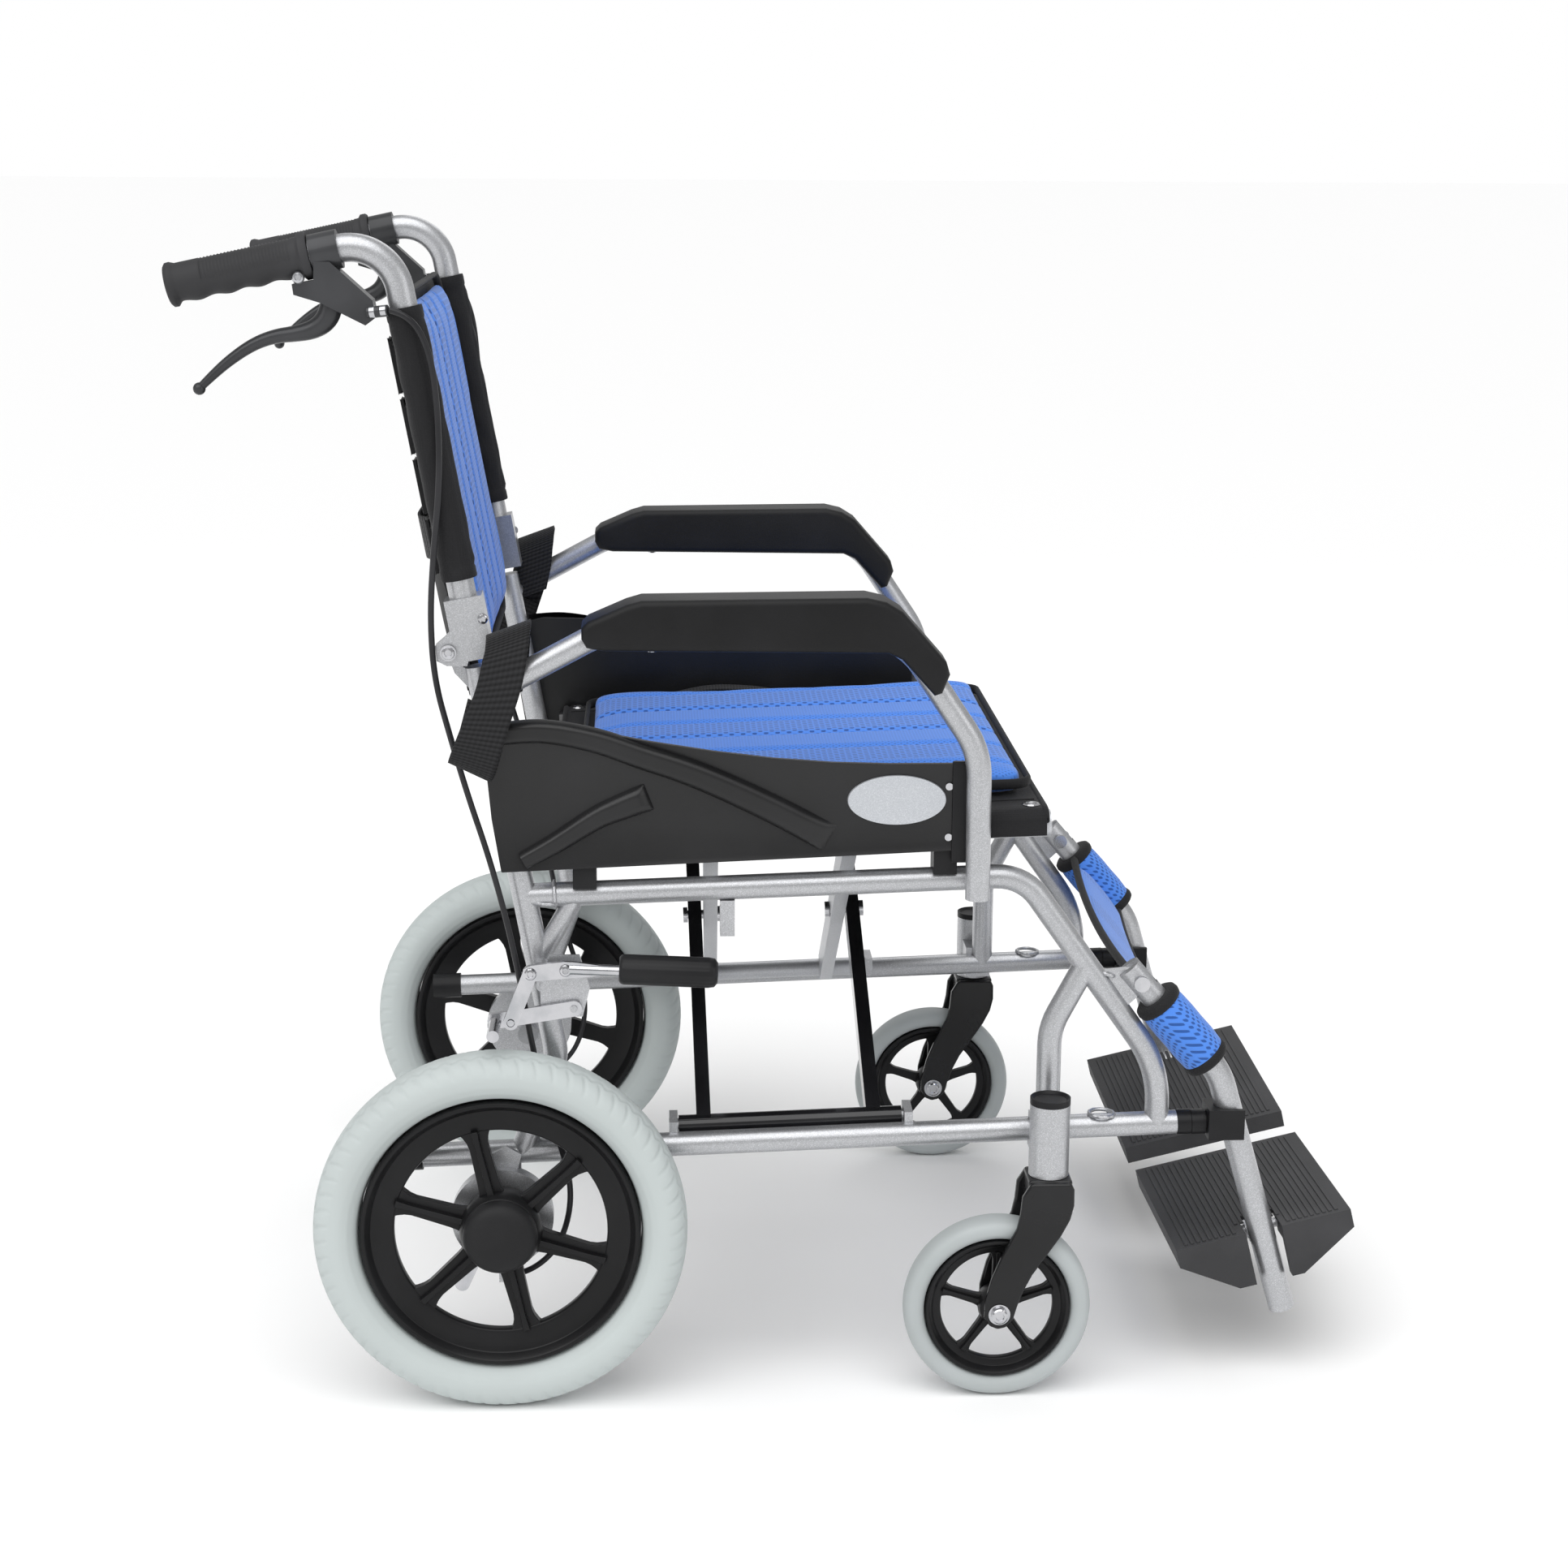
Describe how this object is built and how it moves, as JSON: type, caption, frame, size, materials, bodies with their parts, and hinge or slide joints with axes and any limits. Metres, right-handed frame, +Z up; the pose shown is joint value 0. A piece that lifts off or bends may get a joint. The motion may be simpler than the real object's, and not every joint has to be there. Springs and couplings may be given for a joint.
{
  "type": "transport wheelchair",
  "caption": "Folding attendant-pushed wheelchair with small rear wheels, swivel castors, sling seat and back, fixed armrests, drum and parking brakes and flip-up footplates.",
  "frame": {"origin": "on the floor, under the middle of the chair's overall length and width", "axes": "+X forward, the way the user faces; +Y the user's left; +Z up"},
  "size_m": [0.965, 0.624, 0.9521],
  "materials": {
    "frame_silver": "satin metallic paint",
    "brace_black": "gloss black",
    "brace_silver": "satin silver",
    "charcoal_plastic": "fine satin grain",
    "black_plastic": "semi-gloss",
    "grey_tyre": "matt pale grey",
    "castor_grey": "matt grey",
    "grip_rubber": "matt",
    "chrome": "polished",
    "blue_mesh": "spacer mesh",
    "black_fabric": "woven",
    "cable_black": "smooth"
  },
  "bodies": {
    "right_frame": {"right_side_frame": "frame_silver", "right_armrest_tube": "frame_silver", "right_arm_pad": "charcoal_plastic", "right_side_panel": "charcoal_plastic", "right_frame_caps": "black_plastic", "right_frame_bolts": "chrome", "right_park_bracket": "frame_silver", "right_brake_drum": "frame_silver", "right_legrest_stay": "black_plastic", "right_belt": "black_fabric", "right_brake_cable": "cable_black"},
    "right_wheel": {"right_rear_rim": "black_plastic", "right_rear_tyre": "grey_tyre"},
    "right_castor_fork": {"right_castor_fork": "black_plastic"},
    "right_castor_wheel": {"right_castor_rim": "black_plastic", "right_castor_tyre": "castor_grey"},
    "right_park_lever": {"right_park_lever": "black_plastic"},
    "right_park_link": {"right_park_link": "chrome"},
    "right_park_arm": {"right_park_arm": "chrome"},
    "right_back": {"right_back_cane": "frame_silver", "right_hand_grip": "grip_rubber", "right_lever_housing": "black_plastic", "back_sling": "black_fabric", "back_cushion": "blue_mesh"},
    "right_hand_lever": {"right_hand_lever": "black_plastic"},
    "right_brake_arm": {"right_brake_arm": "chrome"},
    "right_leg": {"right_legrest_tube": "frame_silver", "calf_strap": "blue_mesh"},
    "right_footplate": {"right_footplate": "charcoal_plastic"},
    "left_frame": {"left_side_frame": "frame_silver", "left_armrest_tube": "frame_silver", "left_arm_pad": "charcoal_plastic", "left_side_panel": "charcoal_plastic", "left_frame_caps": "black_plastic", "left_frame_bolts": "chrome", "left_park_bracket": "frame_silver", "left_brake_drum": "frame_silver", "left_legrest_stay": "black_plastic", "left_belt": "black_fabric", "left_brake_cable": "cable_black"},
    "left_wheel": {"left_rear_rim": "black_plastic", "left_rear_tyre": "grey_tyre"},
    "left_castor_fork": {"left_castor_fork": "black_plastic"},
    "left_castor_wheel": {"left_castor_rim": "black_plastic", "left_castor_tyre": "castor_grey"},
    "left_park_lever": {"left_park_lever": "black_plastic"},
    "left_park_link": {"left_park_link": "chrome"},
    "left_park_arm": {"left_park_arm": "chrome"},
    "left_back": {"left_back_cane": "frame_silver", "left_hand_grip": "grip_rubber", "left_lever_housing": "black_plastic"},
    "left_hand_lever": {"left_hand_lever": "black_plastic"},
    "left_brake_arm": {"left_brake_arm": "chrome"},
    "left_leg": {"left_legrest_tube": "frame_silver"},
    "left_footplate": {"left_footplate": "charcoal_plastic"},
    "brace_black": {"cross_brace_black": "brace_black", "brace_pivot_bolts": "chrome"},
    "brace_silver": {"cross_brace_silver": "brace_silver"},
    "seat": {"seat_sling": "black_fabric", "seat_cushion": "blue_mesh"}
  },
  "joints": [
    {"name": "fold", "type": "hinge", "parent": "right_frame", "child": "brace_black", "pos_m": [0.0141, -0.213, 0.219], "axis": [0.9994, 0, 0.0349], "range_deg": [0, 45.4], "deforming": ["seat_sling", "seat_cushion", "back_sling", "back_cushion", "calf_strap"]},
    {"name": "brace_cross", "type": "hinge", "parent": "brace_black", "child": "brace_silver", "pos_m": [0.00987, 0, 0.34023], "axis": [0.9994, 0, 0.0349], "range_deg": [-91, 0]},
    {"name": "left_frame_fold", "type": "hinge", "parent": "brace_silver", "child": "left_frame", "pos_m": [0.0141, 0.213, 0.219], "axis": [0.9994, 0, 0.0349], "range_deg": [0, 45.5]},
    {"name": "seat_level", "type": "hinge", "parent": "brace_silver", "child": "seat", "pos_m": [0.00524, -0.233, 0.47285], "axis": [0.9994, 0, 0.0349], "range_deg": [0, 45.5]},
    {"name": "right_back_fold", "type": "hinge", "parent": "right_frame", "child": "right_back", "pos_m": [-0.2705, -0.233, 0.6249], "axis": [0, -1, 0], "range_deg": [0, 140], "deforming": ["right_brake_cable"]},
    {"name": "right_hand_lever_pull", "type": "hinge", "parent": "right_back", "child": "right_hand_lever", "pos_m": [-0.3679, -0.233, 0.909], "axis": [0, 1, 0], "range_deg": [0, 12], "stiffness_Nm_per_rad": 1.2, "springref_deg": -20.05},
    {"name": "right_brake_arm_turn", "type": "hinge", "parent": "right_frame", "child": "right_brake_arm", "pos_m": [-0.2579, -0.264, 0.122], "axis": [0, -1, 0], "range_deg": [0, 12]},
    {"name": "right_wheel_spin", "type": "hinge", "parent": "right_frame", "child": "right_wheel", "pos_m": [-0.2359, -0.28, 0.1524], "axis": [0, 1, 0], "continuous": true},
    {"name": "right_castor_swivel", "type": "hinge", "parent": "right_frame", "child": "right_castor_fork", "pos_m": [0.2136, -0.275, 0.22], "axis": [0, 0, 1], "continuous": true},
    {"name": "right_castor_spin", "type": "hinge", "parent": "right_castor_fork", "child": "right_castor_wheel", "pos_m": [0.1731, -0.275, 0.0779], "axis": [0, 1, 0], "continuous": true},
    {"name": "right_park_lever_turn", "type": "hinge", "parent": "right_frame", "child": "right_park_lever", "pos_m": [-0.181, -0.2666, 0.3688], "axis": [0, -1, 0], "range_deg": [0, 23]},
    {"name": "right_park_link_turn", "type": "hinge", "parent": "right_park_lever", "child": "right_park_link", "pos_m": [-0.2092, -0.263, 0.366], "axis": [0, -1, 0], "range_deg": [-23.1, 0]},
    {"name": "right_park_arm_turn", "type": "hinge", "parent": "right_frame", "child": "right_park_arm", "pos_m": [-0.1748, -0.259, 0.334], "axis": [0, -1, 0], "range_deg": [0, 12.8]},
    {"name": "right_leg_raise", "type": "hinge", "parent": "right_frame", "child": "right_leg", "pos_m": [0.2911, -0.233, 0.3457], "axis": [0, -1, 0], "range_deg": [0, 60]},
    {"name": "right_footplate_flip", "type": "hinge", "parent": "right_leg", "child": "right_footplate", "pos_m": [0.4051, -0.213, 0.118], "axis": [0.972, 0, 0.2351], "range_deg": [0, 90.2]},
    {"name": "left_back_fold", "type": "hinge", "parent": "left_frame", "child": "left_back", "pos_m": [-0.2705, 0.233, 0.6249], "axis": [0, -1, 0], "range_deg": [0, 140], "deforming": ["left_brake_cable"]},
    {"name": "left_hand_lever_pull", "type": "hinge", "parent": "left_back", "child": "left_hand_lever", "pos_m": [-0.3679, 0.233, 0.909], "axis": [0, 1, 0], "range_deg": [0, 12], "stiffness_Nm_per_rad": 1.2, "springref_deg": -20.05},
    {"name": "left_brake_arm_turn", "type": "hinge", "parent": "left_frame", "child": "left_brake_arm", "pos_m": [-0.2579, 0.264, 0.122], "axis": [0, -1, 0], "range_deg": [0, 12]},
    {"name": "left_wheel_spin", "type": "hinge", "parent": "left_frame", "child": "left_wheel", "pos_m": [-0.2359, 0.28, 0.1524], "axis": [0, 1, 0], "continuous": true},
    {"name": "left_castor_swivel", "type": "hinge", "parent": "left_frame", "child": "left_castor_fork", "pos_m": [0.2136, 0.275, 0.22], "axis": [0, 0, 1], "continuous": true},
    {"name": "left_castor_spin", "type": "hinge", "parent": "left_castor_fork", "child": "left_castor_wheel", "pos_m": [0.1731, 0.275, 0.0779], "axis": [0, 1, 0], "continuous": true},
    {"name": "left_park_lever_turn", "type": "hinge", "parent": "left_frame", "child": "left_park_lever", "pos_m": [-0.181, 0.2666, 0.3688], "axis": [0, -1, 0], "range_deg": [0, 23]},
    {"name": "left_park_link_turn", "type": "hinge", "parent": "left_park_lever", "child": "left_park_link", "pos_m": [-0.2092, 0.263, 0.366], "axis": [0, -1, 0], "range_deg": [-23.1, 0]},
    {"name": "left_park_arm_turn", "type": "hinge", "parent": "left_frame", "child": "left_park_arm", "pos_m": [-0.1748, 0.259, 0.334], "axis": [0, -1, 0], "range_deg": [0, 12.8]},
    {"name": "left_leg_raise", "type": "hinge", "parent": "left_frame", "child": "left_leg", "pos_m": [0.2911, 0.233, 0.3457], "axis": [0, -1, 0], "range_deg": [0, 60]},
    {"name": "left_footplate_flip", "type": "hinge", "parent": "left_leg", "child": "left_footplate", "pos_m": [0.4051, 0.213, 0.118], "axis": [-0.972, 0, -0.2351], "range_deg": [0, 90.2]}
  ],
  "couplings": [
    {"joint": "brace_cross", "follows": "fold", "ratio": -2},
    {"joint": "left_frame_fold", "follows": "fold", "ratio": 1},
    {"joint": "seat_level", "follows": "fold", "ratio": 1},
    {"joint": "right_brake_arm_turn", "follows": "right_hand_lever_pull", "ratio": 0.9},
    {"joint": "right_park_link_turn", "follows": "right_park_lever_turn", "ratio": -1},
    {"joint": "right_park_arm_turn", "follows": "right_park_lever_turn", "ratio": 0.554},
    {"joint": "right_footplate_flip", "follows": "fold", "ratio": 1.9824},
    {"joint": "left_brake_arm_turn", "follows": "left_hand_lever_pull", "ratio": 0.9},
    {"joint": "left_park_link_turn", "follows": "left_park_lever_turn", "ratio": -1},
    {"joint": "left_park_arm_turn", "follows": "left_park_lever_turn", "ratio": 0.554},
    {"joint": "left_footplate_flip", "follows": "fold", "ratio": 1.9824},
    {"joint": "left_back_fold", "follows": "right_back_fold", "ratio": 1},
    {"joint": "left_leg_raise", "follows": "right_leg_raise", "ratio": 1}
  ]
}
